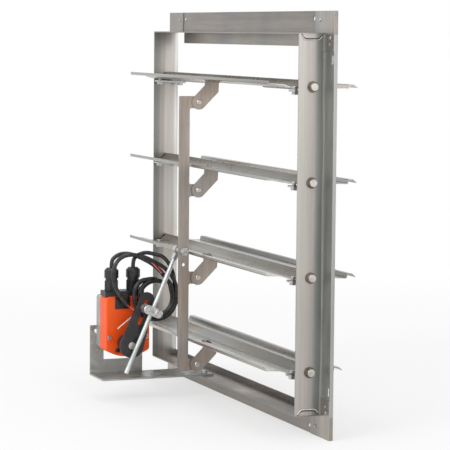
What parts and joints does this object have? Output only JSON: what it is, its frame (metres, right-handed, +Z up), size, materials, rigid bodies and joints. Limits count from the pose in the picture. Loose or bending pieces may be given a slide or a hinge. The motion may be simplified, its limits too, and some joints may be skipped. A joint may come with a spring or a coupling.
{
  "type": "volume control damper",
  "caption": "Motorised volume control damper: parallel folded blades in a flanged duct frame, linked by a bar and driven by a side-mounted actuator.",
  "frame": {"origin": "centre of the duct in the front plane of the rear flange, midway between the four flange bolts", "axes": "+Z up, +X across the duct to the jamb farther from the actuator, +Y the way the air leaves, square to the flange"},
  "size_m": [0.746, 0.2913, 0.682],
  "materials": {
    "frame_sheet": "mill-finish sheet",
    "blade_sheet": "mill-finish sheet",
    "bracket_sheet": "bent sheet",
    "arm_plate": "sheared plate",
    "shaft_steel": "drawn bar",
    "zinc": "zinc plated",
    "zinc_rod": "zinc plated rod",
    "rivets": "blind rivets",
    "bushing": "sintered bronze",
    "black_steel": "black",
    "black_plastic": "moulded",
    "grey_housing": "cast housing back",
    "black_plate": "blank plate",
    "orange_cover": "moulded cover",
    "cable_sheath": "cable sheath",
    "leads": "insulated cores"
  },
  "bodies": {
    "frame_body": {"top_member": "frame_sheet", "bottom_member": "frame_sheet", "left_jamb": "frame_sheet", "right_jamb": "frame_sheet", "corner_plates": "frame_sheet", "corner_rivets": "rivets", "left_bushings": "bushing", "right_bushings": "bushing", "bracket": "bracket_sheet", "bracket_bolts": "zinc", "actuator_base": "grey_housing", "actuator_cover": "orange_cover", "cover_screws": "zinc", "terminal_block": "black_plastic", "nameplate": "black_plate", "gland_bodies": "black_plastic", "gland_caps": "black_plastic", "output_collar": "black_plastic", "feed_cable_1": "cable_sheath", "feed_cable_2": "cable_sheath", "tail_cable_1": "cable_sheath", "tail_cable_2": "cable_sheath", "cable_coil": "cable_sheath", "lead_ends": "leads"},
    "vane_1": {"blade_1": "blade_sheet", "blade_shafts_1": "shaft_steel", "shaft_straps_1": "zinc", "strap_bolts_1": "zinc", "blade_arm_1": "arm_plate", "arm_pin_1": "zinc"},
    "vane_2": {"blade_2": "blade_sheet", "blade_shafts_2": "shaft_steel", "shaft_straps_2": "zinc", "strap_bolts_2": "zinc", "blade_arm_2": "arm_plate", "arm_pin_2": "zinc"},
    "vane_3": {"blade_3": "blade_sheet", "blade_shafts_3": "shaft_steel", "shaft_straps_3": "zinc", "strap_bolts_3": "zinc", "blade_arm_3": "arm_plate", "arm_pin_3": "zinc"},
    "vane_4": {"blade_4": "blade_sheet", "blade_shafts_4": "shaft_steel", "shaft_straps_4": "zinc", "strap_bolts_4": "zinc", "blade_arm_4": "arm_plate", "arm_pin_4": "zinc"},
    "bar_body": {"link_bar": "arm_plate", "joint_pin": "zinc"},
    "rod_body": {"push_rod": "zinc_rod"},
    "clamp_body": {"rod_clamp": "zinc", "clamp_screws": "zinc"},
    "crank_body": {"crank": "black_steel", "hub_clamp": "black_steel", "output_shaft": "shaft_steel", "crank_stud": "zinc"},
    "button_body": {"release_button": "black_plastic"}
  },
  "joints": [
    {"name": "vane_1_turn", "type": "hinge", "parent": "frame_body", "child": "vane_1", "pos_m": [0, -0.0205, 0.221], "axis": [-1, 0, 0], "range_deg": [0, 85]},
    {"name": "vane_2_turn", "type": "hinge", "parent": "frame_body", "child": "vane_2", "pos_m": [0, -0.0205, 0.069], "axis": [-1, 0, 0], "range_deg": [0, 85]},
    {"name": "vane_3_turn", "type": "hinge", "parent": "frame_body", "child": "vane_3", "pos_m": [0, -0.0205, -0.083], "axis": [-1, 0, 0], "range_deg": [0, 85]},
    {"name": "vane_4_turn", "type": "hinge", "parent": "frame_body", "child": "vane_4", "pos_m": [0, -0.0205, -0.235], "axis": [-1, 0, 0], "range_deg": [0, 85]},
    {"name": "bar_swing", "type": "hinge", "parent": "vane_2", "child": "bar_body", "pos_m": [-0.0118, -0.0803, 0.0333], "axis": [-1, 0, 0], "range_deg": [-85.5, 0.5]},
    {"name": "rod_swing", "type": "hinge", "parent": "bar_body", "child": "rod_body", "pos_m": [-0.04, -0.1059, -0.0725], "axis": [1, 0, 0], "range_deg": [-0.5, 6]},
    {"name": "clamp_slide", "type": "slide", "parent": "rod_body", "child": "clamp_body", "axis": [0, -0.4051, -0.9143], "range_m": [-0.0005, 0.0925]},
    {"name": "crank_turn", "type": "hinge", "parent": "frame_body", "child": "crank_body", "pos_m": [-0.06, -0.185, -0.2395], "axis": [-1, 0, 0], "range_deg": [-95, 0]},
    {"name": "release_press", "type": "slide", "parent": "frame_body", "child": "button_body", "axis": [-1, 0, 0], "range_m": [0, 0.0025], "stiffness_N_per_m": 300}
  ],
  "couplings": [
    {"joint": "vane_1_turn", "follows": "vane_2_turn", "ratio": 1},
    {"joint": "vane_3_turn", "follows": "vane_2_turn", "ratio": 1},
    {"joint": "vane_4_turn", "follows": "vane_2_turn", "ratio": 1},
    {"joint": "bar_swing", "follows": "vane_2_turn", "ratio": -1},
    {"joint": "rod_swing", "follows": "vane_2_turn", "ratio": 0.0646},
    {"joint": "clamp_slide", "follows": "vane_2_turn", "m_per_rad": 0.06196}
  ]
}
